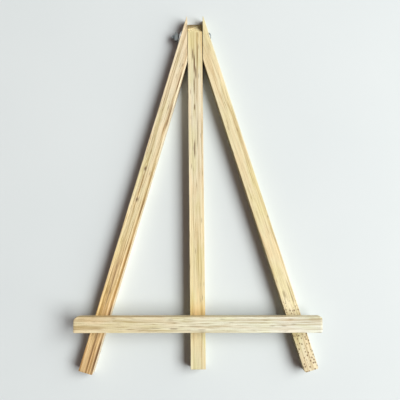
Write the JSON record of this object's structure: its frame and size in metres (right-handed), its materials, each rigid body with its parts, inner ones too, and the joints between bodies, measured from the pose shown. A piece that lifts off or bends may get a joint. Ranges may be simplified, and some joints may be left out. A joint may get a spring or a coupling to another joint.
{
  "type": "display easel",
  "caption": "Small folding wooden display easel: two splayed front legs with a ledge bar, and a back leg that swings on one through-bolt.",
  "frame": {"origin": "under the middle of the folded easel's outline, on the surface it lies on", "axes": "+X to the easel's right seen from its front, +Y along the easel towards its top, +Z out of its front"},
  "size_m": [0.16, 0.2398, 0.0183],
  "materials": {
    "left_leg_wood": "unfinished planed pine, yellow-brown",
    "right_leg_wood": "unfinished planed pine, pale cream",
    "back_leg_wood": "unfinished planed pine, pale tan",
    "ledge_bar_wood": "unfinished planed pine, pale cream with long wavy grain",
    "zinc_steel": "bright zinc plate",
    "brad_steel": "bright drawn wire"
  },
  "bodies": {
    "back_support": {"back_leg": "back_leg_wood"},
    "front_frame": {"left_front_leg": "left_leg_wood", "right_front_leg": "right_leg_wood", "ledge_bar": "ledge_bar_wood", "pivot_bolt": "zinc_steel", "pivot_nut": "zinc_steel", "pivot_washer": "zinc_steel", "left_upper_brad": "brad_steel", "left_lower_brad": "brad_steel", "right_upper_brad": "brad_steel", "right_lower_brad": "brad_steel"}
  },
  "joints": [
    {"name": "pivot_hinge", "type": "hinge", "parent": "back_support", "child": "front_frame", "pos_m": [0, 0.107, 0.0045], "axis": [-1, 0, 0], "range_deg": [0, 90]}
  ]
}
